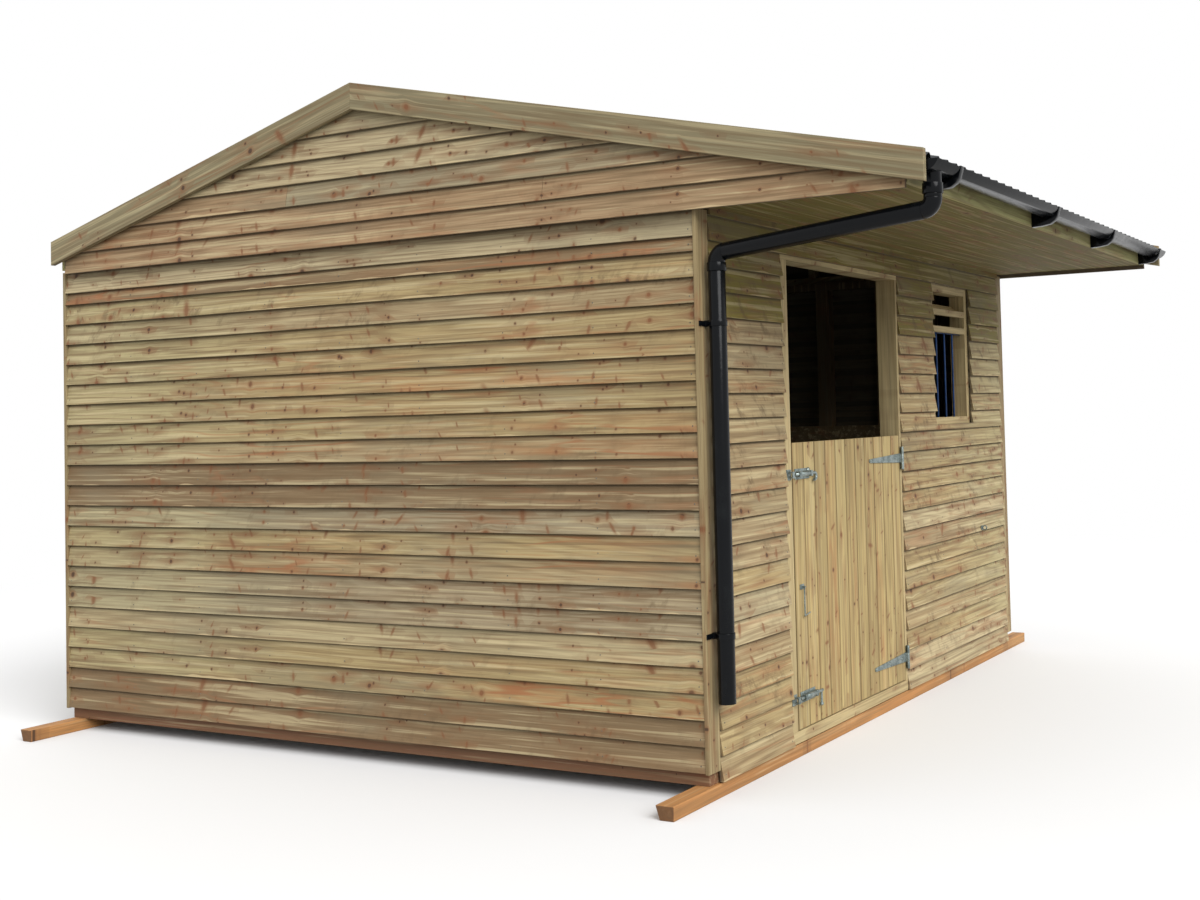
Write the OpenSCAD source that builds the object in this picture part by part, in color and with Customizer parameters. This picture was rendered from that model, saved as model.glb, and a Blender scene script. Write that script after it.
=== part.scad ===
// Field shelter on two skids: stud frame, featheredge cladding, apex roof with
// a canopy over a stable door and a barred window. Millimetres, +Z up, front at -Y.

/* [Building] */
// Length over the cladding, along the front
width = 3680; // [3400:10:4200]
// Depth over the cladding, front trim to rear trim
depth = 3690; // [3400:10:4200]
// Height of the soffit above the gable cladding's lower edge
soffit_height = 2176; // [2140:1:2300]
// Thickness of the studs, across the wall
stud_depth = 70; // [60:1:95]
// Width of the studs, along the wall
stud_width = 45; // [38:1:50]
// Distance from the front to the first joint between two wall panels
first_joint = 1170; // [1000:10:1300]

/* [Skids and base] */
// Height of a skid
skid_height = 55; // [45:1:80]
// Width of a skid across its top
skid_width = 80; // [70:1:110]
// How much narrower the underside of a skid is
skid_taper = 18; // [5:1:30]
// Distance the rear skid stands in from the rear trims
rear_skid_inset = 20; // [0:5:60]
// Skid that shows past each gable
skid_overhang = 260; // [120:5:400]
// Height of the base beams
base_height = 55; // [40:1:80]
// Cladding that hangs below the studs at the front and rear
cladding_drop = 50; // [20:1:50]

/* [Cladding] */
// Height of each board that shows
exposure = 100; // [80:1:125]
// How far a board's lower edge stands off the studs
board_butt = 30; // [24:1:34]
// How far its upper edge stands off at the lap
board_top = 12; // [8:1:16]
// Width of the corner trims
trim_width = 90; // [70:1:110]
// Thickness of the corner trims
trim_thickness = 16; // [12:1:20]
// Distance the gable panels hang below the soffit
panel_drop = 21; // [10:1:30]
// Distance from the rear wall face to the end of a gable panel
panel_setback = 54; // [20:1:90]

/* [Roof] */
// Rise of the roof from the soffit to the ridge
ridge_rise = 686; // [620:1:760]
// Distance of the ridge behind the front wall
ridge_setback = 1705; // [1600:5:1900]
// Reach of the canopy from the front wall to the fascia face
canopy_reach = 881; // [700:1:1000]
// Reach of the barge boards past the fascia face
barge_reach = 84; // [60:1:120]
// Reach of the barge boards past the rear wall face
barge_rear_reach = 14; // [8:1:40]
// Rise from the soffit to the roof at the fascia face
front_eave_rise = 127; // [120:1:160]
// Rise from the soffit to the roof at the rear wall face
rear_eave_rise = 145; // [120:1:170]
// Height of the barge boards, measured plumb
barge_height = 118; // [100:1:130]
// Thickness of the barge boards
barge_thickness = 25; // [18:1:32]
// Height of the sheet corrugations
wave_height = 28; // [20:1:34]
// Distance between two corrugations
wave_pitch = 95; // [76:1:110]
// Thickness of the corrugated sheets
sheet_thickness = 3; // [2:0.5:4]
// Distance from the barge boards' top edge down to the sheets' crests
sheet_drop = 4; // [3:1:15]
// Reach of the sheets past the fascia face
sheet_reach = 75; // [50:1:80]
// Thickness of a purlin and of a rafter, across the slope
rafter_depth = 45; // [38:1:50]
// Width of a purlin along the slope
purlin_width = 70; // [50:1:90]
// Thickness of the fascia boards
fascia_thickness = 20; // [15:1:25]
// Thickness of the soffit boards
soffit_thickness = 16; // [12:1:20]
// Length of each wing of the ridge cap
cap_wing = 150; // [100:5:200]

/* [Doorway] */
// Distance from the left gable to the cladding that ends at the door frame
door_frame_start = 706; // [600:1:800]
// Width of the lock stile
lock_stile = 56; // [50:1:100]
// Clear width of the doorway
door_clear = 1219; // [1000:1:1240]
// Drop from the soffit to the head of the doorway
door_head_drop = 150; // [130:1:240]
// Thickness of the hinge jamb and of the head
lining = 22; // [18:1:30]
// Depth of the linings, front to back
lining_depth = 104; // [100:1:120]
// Height of the lower door's top edge
door_top = 1234; // [1100:1:1250]
// Height of the gap under the door
door_gap = 6; // [5:1:12]
// Thickness of the door boards
door_board = 22; // [18:1:28]
// Thickness of the ledges behind them
ledge_depth = 22; // [18:1:30]
// Number of boards in the door
door_boards = 11; // [8:1:14]

/* [Window] */
// Distance from the left gable to the window frame
window_start = 2505; // [2480:1:2600]
// Width over the window frame
window_width = 583; // [540:1:620]
// Setback of the window frame behind the trims' face
window_recess = 15; // [5:1:30]
// Packer between the window frame and the lintel
window_packer = 3; // [2:1:20]
// Width of the frame members that shows
window_member = 39; // [30:1:50]
// Height of a horizontal bar
window_bar = 34; // [30:1:45]
// Height of the opening over the first bar
window_vent = 91; // [80:1:110]
// Height of the opening between the two bars
window_slot = 61; // [50:1:80]
// Thickness of a horizontal bar
bar_thickness = 22; // [16:1:28]
// Thickness of the slat behind the first bar
slat_thickness = 12; // [9:1:16]
// Number of upright grille bars
grille_bars = 3; // [2:1:5]
// Diameter of a grille bar
grille_diameter = 12; // [8:1:16]

/* [Lining] */
// Height of the kickboards
kick_height = 1220; // [1100:10:1220]
// Gap below them
kick_base = 50; // [20:5:80]
// Thickness of the kickboards
kick_thickness = 18; // [12:1:22]
// Distance from their top edge up to the window frame
sill_gap = 7; // [5:1:30]

/* [Ironmongery and rainwater] */
// Length of a tee hinge strap
strap_length = 390; // [300:5:450]
// Length of a bolt's rod
bolt_length = 215; // [170:5:240]
// Outer width of the gutter
gutter_width = 112; // [100:1:116]
// Depth of the gutter
gutter_depth = 42; // [38:1:50]
// Gap between the gutter and the fascia
gutter_gap = 15; // [10:1:18]
// Width of a gutter bracket
bracket_width = 34; // [20:1:45]
// Depth of a bracket below the gutter, at the fascia
bracket_drop = 38; // [20:1:40]
// Outer diameter of the rainwater pipe
pipe_diameter = 68; // [60:1:72]
// Height of the pipe's open end above the gable cladding's lower edge
pipe_end = 260; // [150:5:400]
// Wall of the gutter and of the pipe
plastic_wall = 2.5; // [2:0.5:4]
// Centre radius of the pipe's elbows
bend = 42; // [38:1:60]
// Fall of the offset pipe in degrees
pipe_fall = 6; // [2:1:8]
// Gap between the downpipe and the corner trim
pipe_gap = 20; // [8:1:30]

/* [Hidden] */
stand = skid_height + base_height;          // gable cladding's lower edge above ground
stud_face = trim_thickness;                 // outer face of the front studs
side_face = board_butt;                     // outer face of the side studs
rear_face = depth - trim_thickness;         // outer face of the rear studs
side_in = side_face + stud_depth;           // inner face of the side studs
front_in = stud_face + stud_depth;
rear_in = rear_face - stud_depth;
plate_top = soffit_height + soffit_thickness;
ridge_height = soffit_height + ridge_rise;
front_fall = (ridge_rise - front_eave_rise) / (ridge_setback + canopy_reach);
rear_fall = (ridge_rise - rear_eave_rise) / (depth - ridge_setback);
front_angle = atan(front_fall);
rear_angle = atan(rear_fall);
panel_base = soffit_height - panel_drop;
barge_front = -canopy_reach - barge_reach;
barge_rear = depth + barge_rear_reach;
barge_side = board_butt + barge_thickness;  // barge boards' outer face past the cladding
door_left = door_frame_start + lock_stile;
door_right = door_left + door_clear;
hinge_cover = door_right + lining;          // where the cladding starts again
window_end = window_start + window_width;
sheet_depth = wave_height + sheet_thickness;
// drop from the barge boards' top edge to just under the sheets, measured plumb
purlin_top_drop = sheet_drop + sheet_depth / cos(rear_angle) + 1;
rafter_top_drop = purlin_top_drop + rafter_depth + 2;
kick_top = kick_base + kick_height;
door_head_height = soffit_height - door_head_drop;
lintel_base = door_head_height + lining;
window_base = kick_top + sill_gap;
window_top = lintel_base - window_packer;
first_bar = window_top - window_member - window_vent - window_bar;
second_bar = first_bar - window_slot - window_bar;
hinge_axis_x = door_right;
hinge_axis_y = -14;
barrel = 16;
pin = 8;
plate = 5;
upper_hinge = door_top - 114;
lower_hinge = 118;
upper_bolt = door_top - 136;
lower_bolt = 140;
slab_left = door_left + 7;
slab_right = door_right - 5;
rod = 13;
rod_y = -14;
rod_tip = slab_left - 4;
handle = 11;
handle_place = bolt_length - 12;            // handle's distance from the rod's tip
bolt_throw = 35;
pipe_x = 60;
pipe_y = -pipe_gap - pipe_diameter / 2;
// radius of the gutter's arc, and the height of its centre above the rim
gutter_r = (pow(gutter_width / 2, 2) + pow(gutter_depth, 2)) / (2 * gutter_depth);
gutter_rise = gutter_r - gutter_depth;
gutter_y = -canopy_reach - gutter_gap - gutter_width / 2;
rim_z = roof_line(-canopy_reach - sheet_reach) - purlin_top_drop - 1;
gutter_bottom = rim_z - gutter_depth;
bracket_lip = 2.5;                          // bracket past the gutter's front rim
mid_x = width / 2;
front_limit = gutter_y - gutter_width / 2 - bracket_lip;
mid_y = (front_limit + barge_rear) / 2;

function roof_line(y) = y < ridge_setback
    ? ridge_height - front_fall * (ridge_setback - y)
    : ridge_height - rear_fall * (y - ridge_setback);

// ---------- shared shapes ----------

module placed() {
    translate([-mid_x, -mid_y, stand]) children();
}

module box(x0, x1, y0, y1, z0, z1) {
    translate([x0, y0, z0]) cube([x1 - x0, y1 - y0, z1 - z0]);
}

// a section drawn in Y and Z, run along X
module along_x(x0, x1) {
    translate([x0, 0, 0]) rotate([90, 0, 90]) linear_extrude(x1 - x0) children();
}

// a section drawn in X and Z, run along Y
module along_y(y0, y1) {
    translate([0, y1, 0]) rotate([90, 0, 0]) linear_extrude(y1 - y0) children();
}

module both_ends() {
    children();
    translate([width, 0, 0]) mirror([1, 0, 0]) children();
}

// Featheredge boards as one skin: first entry is the distance off the studs,
// second the height. A last board that is cut keeps the same slope.
function lap_points(z0, z1, step) = [
    for (z = [z0 : step : z1 - 1])
        let (rise = min(step, z1 - z))
        for (p = [[board_butt, z],
                  [board_butt - (board_butt - board_top) * rise / step, z + rise]]) p];

module lapped(z0, z1, step = exposure) {
    polygon(concat([[0, z0]], lap_points(z0, z1, step), [[0, z1]]));
}

module front_lapped(x0, x1, z0, z1) {
    along_x(x0, x1) translate([stud_face, 0]) mirror([1, 0]) lapped(z0, z1);
}

// Panels of four studs between plates, side by side, drawn along X with the
// outer face at zero; the studs of two panels meet at each joint
module stud_wall(x0, joints, x1) {
    stops = concat([x0], joints, [x1]);
    box(x0, x1, 0, stud_depth, 0, stud_width);
    box(x0, x1, 0, stud_depth, kick_top - stud_width, kick_top);
    box(x0, x1, 0, stud_depth, plate_top - stud_width, plate_top);
    for (i = [0 : len(stops) - 2])
        for (k = [0 : 3])
            let (x = stops[i] + k * (stops[i + 1] - stops[i] - stud_width) / 3)
                box(x, x + stud_width, 0, stud_depth, 0, plate_top);
}

module side_frame() {
    translate([side_face, 0, 0]) mirror([1, -1, 0])
        stud_wall(stud_face, [first_joint, (first_joint + rear_face) / 2], rear_face);
}

module slope_strip(y0, y1, top_drop, deep) {
    polygon([[y0, roof_line(y0) - top_drop], [y1, roof_line(y1) - top_drop],
             [y1, roof_line(y1) - top_drop - deep], [y0, roof_line(y0) - top_drop - deep]]);
}

function wave(x) = wave_height / 2 * cos(360 * x / wave_pitch);

// Corrugated sheet drawn in X and Z, crest height at zero
module wave_section(x0, x1) {
    step = wave_pitch / 8;
    first_crest = 6 * step;
    run = [for (x = [x0 : step : x1])
        [x, wave(x - x0 - first_crest) - sheet_depth + wave_height / 2]];
    rise = [for (i = [len(run) - 1 : -1 : 0]) run[i] + [0, sheet_thickness]];
    polygon(concat(run, rise));
}

module sheet(run) {
    along_y(0, run) wave_section(-board_butt + 2, width + board_butt - 2);
}

// ---------- skids and base ----------

module skid(y0) {
    along_x(-skid_overhang, width + skid_overhang)
        translate([y0, -stand])
            polygon([[0, skid_height], [skid_width, skid_height],
                     [skid_width - skid_taper, 0], [1, 0]]);
}

module skids() {
    color("chocolate") placed() {
        skid(0);
        skid(depth - skid_width - rear_skid_inset);
    }
}

module side_base_beams() {
    color("saddlebrown") placed() both_ends()
        box(side_face, side_in, stud_face, rear_face, -base_height, 0);
}

module end_base_beams() {
    color("saddlebrown") placed() {
        box(side_in, width - side_in, stud_face, front_in, -base_height, 0);
        box(side_in, width - side_in, rear_in, rear_face, -base_height, 0);
    }
}

// ---------- wall frames ----------

module left_wall_frame() {
    color("burlywood") placed() side_frame();
}

module right_wall_frame() {
    color("burlywood") placed() translate([width, 0, 0]) mirror([1, 0, 0]) side_frame();
}

module rear_wall_frame() {
    x1 = width - side_in;
    third = (x1 - side_in) / 3;
    color("burlywood") placed() translate([0, rear_in, 0])
        stud_wall(side_in, [side_in + third, x1 - third], x1);
}

module front_stud(x, top) {
    box(x, x + stud_width, stud_face, front_in, 0, top);
}

module front_frame_left() {
    top = lintel_base;
    color("burlywood") placed() {
        box(side_in, door_frame_start, stud_face, front_in, 0, stud_width);
        box(side_in, door_frame_start, stud_face, front_in, kick_top - stud_width, kick_top);
        for (x = [side_in, (side_in + door_frame_start - stud_width) / 2,
                  door_frame_start - stud_width])
            front_stud(x, top);
    }
}

module front_frame_right() {
    x1 = width - side_in;
    top = lintel_base;
    color("burlywood") placed() {
        box(hinge_cover, x1, stud_face, front_in, 0, stud_width);
        box(hinge_cover, x1, stud_face, front_in,
            window_base - stud_width, window_base);
        box(window_start - stud_width, window_end + stud_width, stud_face, front_in,
            window_top, lintel_base);
        front_stud(hinge_cover, top);
        front_stud(window_start - stud_width, top);
        front_stud(window_end, top);
        front_stud(x1 - stud_width, top);
        box(window_start + window_width / 2 - stud_width / 2,
            window_start + window_width / 2 + stud_width / 2, stud_face, front_in,
            0, window_base);
    }
}

module front_header() {
    color("burlywood") placed()
        box(side_in, width - side_in, stud_face, front_in, lintel_base, plate_top);
}

// ---------- roof frame ----------

module gable_outline() {
    post_pitch = 450;
    rafter_plumb = 48;
    chord_front = -canopy_reach + fascia_thickness;
    chord_rear = rear_face;
    lower_line = rafter_top_drop + rafter_plumb;
    difference() {
        polygon([[chord_front, plate_top], [chord_rear, plate_top],
                 [chord_rear, roof_line(chord_rear) - rafter_top_drop],
                 [ridge_setback, ridge_height - rafter_top_drop],
                 [chord_front, roof_line(chord_front) - rafter_top_drop]]);
        difference() {
            intersection() {
                translate([chord_front, plate_top + rafter_depth])
                    square([chord_rear - chord_front, ridge_height]);
                polygon([[chord_front, 0], [chord_rear, 0],
                         [chord_rear, roof_line(chord_rear) - lower_line],
                         [ridge_setback, ridge_height - lower_line],
                         [chord_front, roof_line(chord_front) - lower_line]]);
            }
            for (i = [-4 : 3])
                translate([ridge_setback + i * post_pitch - stud_width / 2, 0])
                    square([stud_width, ridge_height]);
        }
    }
}

module gable_frames() {
    color("burlywood") placed() both_ends()
        along_x(0, stud_depth) gable_outline();
}

module purlins() {
    front_y = [-canopy_reach + fascia_thickness, stud_face, ridge_setback / 2];
    rear_y = [(ridge_setback + rear_face) / 2, rear_face - purlin_width];
    color("burlywood") placed() {
        for (y = concat(front_y, rear_y))
            along_x(0, width)
                slope_strip(y, y + purlin_width, purlin_top_drop, rafter_depth);
        along_x(0, width) union() {
            slope_strip(ridge_setback - purlin_width, ridge_setback,
                purlin_top_drop, rafter_depth);
            slope_strip(ridge_setback, ridge_setback + purlin_width,
                purlin_top_drop, rafter_depth);
        }
    }
}

// ---------- cladding ----------

// Side wall: full boards, one narrow board, and the last one under the gable panel
module side_cladding() {
    full_rows = floor((panel_base - 130) / exposure);
    narrow = 59;
    translate([side_face, 0, 0]) mirror([1, 0, 0]) along_y(stud_face, rear_face) {
        lapped(0, full_rows * exposure);
        translate([0, full_rows * exposure]) lapped(0, narrow);
        translate([0, full_rows * exposure + narrow])
            lapped(0, soffit_height - full_rows * exposure - narrow, exposure);
    }
}

module left_cladding() {
    color("tan") placed() side_cladding();
}

module right_cladding() {
    color("tan") placed() translate([width, 0, 0]) mirror([1, 0, 0]) side_cladding();
}

module rear_cladding() {
    color("tan") placed()
        along_x(trim_width, width - trim_width)
            translate([rear_face, 0]) lapped(-cladding_drop, soffit_height);
}

module front_cladding_left() {
    color("tan") placed()
        front_lapped(trim_width, door_frame_start, -cladding_drop, lintel_base);
}

module front_cladding_middle() {
    color("tan") placed()
        front_lapped(hinge_cover, window_start, -cladding_drop, lintel_base);
}

module front_cladding_under_window() {
    color("tan") placed()
        front_lapped(window_start, window_end, -cladding_drop, window_base);
}

module front_cladding_right() {
    color("tan") placed()
        front_lapped(window_end, width - trim_width, -cladding_drop, lintel_base);
}

module front_cladding_top() {
    color("tan") placed()
        along_x(trim_width, width - trim_width)
            translate([stud_face, 0]) mirror([1, 0])
                lapped(lintel_base, soffit_height, exposure);
}

module gable_panel_section() {
    y1 = depth - panel_setback;
    polygon([[-canopy_reach, panel_base], [y1, panel_base],
             [y1, roof_line(y1) - purlin_top_drop],
             [ridge_setback, ridge_height - purlin_top_drop],
             [-canopy_reach, roof_line(-canopy_reach) - purlin_top_drop]]);
}

module gable_panels() {
    color("tan") placed() both_ends()
        intersection() {
            mirror([1, 0, 0]) along_y(-canopy_reach - 1, depth)
                lapped(panel_base, ridge_height);
            along_x(-board_butt - 1, 1) gable_panel_section();
        }
}

module corner_trim(y0) {
    box(0, trim_width, y0, y0 + trim_thickness, -5, soffit_height - 11);
}

module corner_trims() {
    color("darkkhaki") placed() both_ends() {
        corner_trim(0);
        corner_trim(rear_face);
    }
}

// ---------- roof edges ----------

module front_barge_boards() {
    color("darkkhaki") placed() both_ends()
        along_x(-barge_side, -board_butt)
            slope_strip(barge_front, ridge_setback, 0, barge_height);
}

module rear_barge_boards() {
    color("darkkhaki") placed() both_ends()
        along_x(-barge_side, -board_butt)
            slope_strip(ridge_setback, barge_rear, 0, barge_height);
}

module fascia_boards() {
    rear_out = rear_face + fascia_thickness;
    color("darkkhaki") placed() {
        along_x(0, width) polygon([
            [-canopy_reach, soffit_height], [-canopy_reach + fascia_thickness, soffit_height],
            [-canopy_reach + fascia_thickness,
                roof_line(-canopy_reach) - purlin_top_drop],
            [-canopy_reach, roof_line(-canopy_reach) - purlin_top_drop]]);
        along_x(0, width) polygon([
            [rear_face, soffit_height], [rear_out, soffit_height],
            [rear_out, roof_line(rear_out) - purlin_top_drop],
            [rear_face, roof_line(rear_out) - purlin_top_drop]]);
    }
}

module canopy_soffit() {
    color("khaki") placed()
        box(0, width, -canopy_reach + fascia_thickness, stud_face, soffit_height, plate_top);
}

module front_roof_sheet() {
    run = (ridge_setback + canopy_reach + sheet_reach) / cos(front_angle);
    color("dimgray") placed()
        translate([0, ridge_setback, ridge_height - sheet_drop])
            rotate([front_angle, 0, 0])
                translate([0, -run, 0]) sheet(run - 12);
}

module rear_roof_sheet() {
    run = (barge_rear - ridge_setback) / cos(rear_angle);
    color("dimgray") placed()
        translate([0, ridge_setback, ridge_height - sheet_drop])
            rotate([-rear_angle, 0, 0])
                translate([0, 12, 0]) sheet(run - 12);
}

module ridge_cap() {
    thick = 1.5;
    y0 = ridge_setback - cap_wing;
    y1 = ridge_setback + cap_wing;
    lift = sheet_drop - thick - 0.3;
    color("dimgray") placed()
        along_x(-board_butt + 2, width + board_butt - 2)
            polygon([[y0, roof_line(y0) - lift], [ridge_setback, ridge_height - lift],
                     [y1, roof_line(y1) - lift], [y1, roof_line(y1) - lift - thick],
                     [ridge_setback, ridge_height - lift - thick],
                     [y0, roof_line(y0) - lift - thick]]);
}

// ---------- rainwater goods ----------

// Solid half round of the gutter's outline, grown or shrunk by a clearance
module half_round(x0, x1, grow, top = 0) {
    along_x(x0, x1) translate([gutter_y, rim_z]) difference() {
        translate([0, gutter_rise]) circle(r = gutter_r + grow, $fn = 48);
        translate([-gutter_width, top]) square([2 * gutter_width, 3 * gutter_r]);
    }
}

module gutter() {
    x0 = -board_butt + 4;
    x1 = width + board_butt;
    stop = 3;
    color("black") placed() difference() {
        union() {
            half_round(x0, x1, 0);
            translate([pipe_x, gutter_y, outlet_end + 0.3])
                cylinder(d = pipe_diameter, h = gutter_bottom - outlet_end + 8, $fn = 40);
        }
        half_round(x0 + stop, x1 - stop, -plastic_wall);
        translate([pipe_x, gutter_y, outlet_end - 1])
            cylinder(d = pipe_bore, h = gutter_bottom - outlet_end + 20, $fn = 40);
    }
}

// Bracket whose web carries the gutter from below, with a lip over its front rim
module gutter_bracket(x) {
    reach = gutter_gap + gutter_width + bracket_lip;
    clear = 0.5;
    difference() {
        along_x(x, x + bracket_width)
            translate([-canopy_reach, gutter_bottom]) mirror([1, 0])
                polygon([[0, -bracket_drop], [reach * 0.35, -bracket_drop + 3],
                         [reach * 0.66, -bracket_drop * 0.74],
                         [reach * 0.82, -bracket_drop * 0.37], [reach * 0.91, 2],
                         [reach * 0.97, gutter_depth * 0.67],
                         [reach, gutter_depth + 4], [reach - 9, gutter_depth + 4],
                         [reach - 9, gutter_depth], [0, gutter_depth - 2]]);
        half_round(x - 1, x + bracket_width + 1, clear, clear);
    }
}

module gutter_brackets() {
    color("black") placed()
        for (part = [0.056, 0.402, 0.677, 0.965])
            gutter_bracket(width * part);
}

// Bend that turns from straight down to nearly level
module elbow(angle) {
    rotate_extrude(angle = angle, $fn = 48) translate([bend, 0]) difference() {
        circle(d = pipe_diameter, $fn = 40);
        circle(d = pipe_bore, $fn = 40);
    }
}

pipe_bore = pipe_diameter - 2 * plastic_wall;
turn = 90 - pipe_fall;
collar_grip = 33;                           // how far a collar grips the next pipe
stub = 18;                                  // straight length above the upper bend
outlet_end = gutter_bottom - 2 * collar_grip;
bend_start = outlet_end - stub;
// the sloping pipe joins the two bends' ends
span_y = pipe_y - gutter_y - 2 * bend * (1 - cos(turn));
span = span_y / cos(pipe_fall);
low_elbow_end = bend_start - 2 * bend * sin(turn) - span_y * tan(pipe_fall);
pipe_run = low_elbow_end - 1 - pipe_end;

// Collar on an elbow's end, round the pipe it takes. Where the neck has a length,
// a straight piece of pipe stands between the elbow and the next pipe
module collar(neck) {
    overlap = min(4, neck);
    joint_gap = 0.3;
    translate([0, 0, neck - overlap]) difference() {
        cylinder(d = pipe_diameter + 8, h = overlap + collar_grip, $fn = 40);
        translate([0, 0, -1])
            cylinder(d = pipe_diameter + 2 * joint_gap, h = overlap + collar_grip + 2, $fn = 40);
    }
    if (neck > 0)
        translate([0, 0, joint_gap]) pipe_tube(neck - joint_gap);
}

// places a shape that runs along +Z at the sloping pipe's upper end
module on_offset() {
    translate([pipe_x, gutter_y + bend * (1 - cos(turn)), bend_start - bend * sin(turn)])
        rotate([-(90 + pipe_fall), 0, 0]) children();
}

module pipe_tube(length) {
    difference() {
        cylinder(d = pipe_diameter, h = length, $fn = 40);
        translate([0, 0, -1]) cylinder(d = pipe_bore, h = length + 2, $fn = 40);
    }
}

module pipe_elbows() {
    color("black") placed() {
        translate([pipe_x, gutter_y, bend_start]) collar(stub);
        translate([pipe_x, gutter_y + bend, bend_start]) rotate([90, 0, 90])
            rotate([0, 0, 180]) elbow(turn);
        translate([pipe_x, pipe_y - bend, low_elbow_end]) rotate([90, 0, 90])
            elbow(turn);
        translate([pipe_x, pipe_y, low_elbow_end]) rotate([180, 0, 0]) collar(0);
    }
}

module offset_pipe() {
    end_gap = 0.3;
    color("black") placed() on_offset()
        translate([0, 0, end_gap]) pipe_tube(span - 2 * end_gap);
}

module downpipe() {
    color("black") placed()
        translate([pipe_x, pipe_y, pipe_end]) pipe_tube(pipe_run);
}

module pipe_clip(z) {
    outer = pipe_diameter + 6;
    translate([0, 0, z]) difference() {
        union() {
            translate([pipe_x, pipe_y, 0]) cylinder(d = outer, h = 24, $fn = 40);
            box(pipe_x - 14, pipe_x + 14, pipe_y, 0, 0, 24);
            box(4, pipe_x, -5, 0, 2, 22);
        }
        translate([pipe_x, pipe_y, -1]) cylinder(d = pipe_diameter + 0.4, h = 26, $fn = 40);
    }
}

module pipe_clips() {
    color("black") placed() {
        pipe_clip(pipe_end + pipe_run * 0.855);
        pipe_clip(pipe_end + pipe_run * 0.145);
    }
}

// ---------- doorway ----------

module door_jambs() {
    color("wheat") placed() {
        box(door_frame_start, door_left, 0, lining_depth, 0, door_head_height);
        box(door_right, hinge_cover, 0, lining_depth, 0, door_head_height);
    }
}

module door_rails() {
    color("wheat") placed() {
        box(door_frame_start, hinge_cover, 0, lining_depth, door_head_height, lintel_base);
        box(door_frame_start, hinge_cover, 0, stud_face, -cladding_drop, 0);
    }
}

module stable_door() {
    base = door_gap;
    tall = door_top - base;
    wide = slab_right - slab_left;
    pitch = wide / door_boards;
    groove = 4;
    ledge = 140;
    color("wheat") placed() translate([slab_left, 0, base]) {
        difference() {
            cube([wide, door_board, tall]);
            for (i = [1 : door_boards - 1])
                translate([i * pitch, 0, -1]) linear_extrude(tall + 2)
                    polygon([[-groove, -1], [groove, -1], [groove, 0],
                             [0, groove], [-groove, 0]]);
        }
        for (z = [60, tall - ledge - 40])
            translate([20, door_board, z]) cube([wide - 40, ledge_depth, ledge]);
        along_y(door_board, door_board + ledge_depth)
            polygon([[wide - 24, 60 + ledge], [wide - 174, 60 + ledge],
                     [24, tall - ledge - 40], [174, tall - ledge - 40]]);
    }
}

// ---------- ironmongery ----------

// Tee hinge strap, hinge end at zero, tapering to a rounded tip
module strap() {
    wide = 46;
    tip = 9;
    knuckle = 44;
    away = -hinge_axis_y;
    translate([-strap_length, away - plate, 0]) rotate([-90, 0, 0]) linear_extrude(plate)
        difference() {
            union() {
                polygon([[tip, -tip], [strap_length - 6, -wide / 2],
                         [strap_length - 6, wide / 2], [tip, tip]]);
                translate([tip, 0]) circle(r = tip, $fn = 24);
            }
            for (x = [tip + 6, strap_length * 0.45, strap_length - 60])
                translate([x, 0]) circle(d = 7, $fn = 20);
        }
    difference() {
        union() {
            cylinder(d = barrel, h = knuckle, center = true, $fn = 32);
            translate([-barrel / 2, 0, -knuckle / 2]) cube([5, away, knuckle]);
            translate([-barrel / 2 - 8, away - plate, -knuckle / 2]) cube([8, plate, knuckle]);
        }
        cylinder(d = pin + 1, h = knuckle + 2, center = true, $fn = 32);
    }
}

module hinge_straps() {
    color("silver") placed()
        for (z = [upper_hinge, lower_hinge])
            translate([hinge_axis_x, hinge_axis_y, z]) strap();
}

module leaf() {
    tall = 114;
    knuckle = 46;
    away = -hinge_axis_y;
    cylinder(d = pin, h = tall, center = true, $fn = 32);
    for (z = [knuckle / 2, -tall / 2])
        translate([0, 0, z]) cylinder(d = barrel, h = (tall - knuckle) / 2, $fn = 32);
    for (z = [knuckle / 2, -tall / 2])
        translate([3, 0, z]) cube([5, away, (tall - knuckle) / 2]);
    translate([5, away - plate, -tall / 2]) cube([15, plate, tall]);
}

module hinge_leaves() {
    color("silver") placed()
        for (z = [upper_hinge, lower_hinge])
            translate([hinge_axis_x, hinge_axis_y, z]) leaf();
}

// Bolt plate with two staples that hold the rod
module bolt_plate(z) {
    tall = 46;
    wide = 20;
    first = slab_left + 18;
    // the second staple stops short of the handle when the bolt is shot
    last = rod_tip + handle_place - handle / 2 - bolt_throw - 6;
    translate([0, 0, z]) {
        box(first, last + 8, -3, 0, -tall / 2, tall / 2);
        for (x = [first + 8, last - wide])
            difference() {
                box(x, x + wide, rod_y - rod / 2 - 5, -2, -rod / 2 - 6, rod / 2 + 6);
                translate([x - 1, rod_y, 0]) rotate([0, 90, 0])
                    cylinder(d = rod + 2, h = wide + 2, $fn = 32);
            }
    }
}

module bolt_plates() {
    color("silver") placed() {
        bolt_plate(upper_bolt);
        bolt_plate(lower_bolt);
    }
}

// Rod with its handle, drawn back clear of the keep
module bolt_rod(z) {
    reach = 58;
    translate([rod_tip, rod_y, z]) {
        rotate([0, 90, 0]) cylinder(d = rod, h = bolt_length, $fn = 32);
        translate([handle_place, 0, 4 - reach]) cylinder(d = handle, h = reach, $fn = 24);
        translate([handle_place, 0, -reach]) sphere(d = 18, $fn = 24);
    }
}

module upper_bolt_rod() {
    color("silver") placed() bolt_rod(upper_bolt);
}

module lower_bolt_rod() {
    color("silver") placed() bolt_rod(lower_bolt);
}

module keep(z) {
    x0 = door_frame_start + 2;
    translate([0, 0, z]) {
        box(x0, x0 + 44, -3, 0, -23, 23);
        difference() {
            box(x0 + 12, x0 + 32, rod_y - rod / 2 - 7, -2, -rod / 2 - 8, rod / 2 + 8);
            translate([x0, rod_y, 0]) rotate([0, 90, 0])
                cylinder(d = rod + 5, h = 44, $fn = 32);
        }
    }
}

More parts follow.
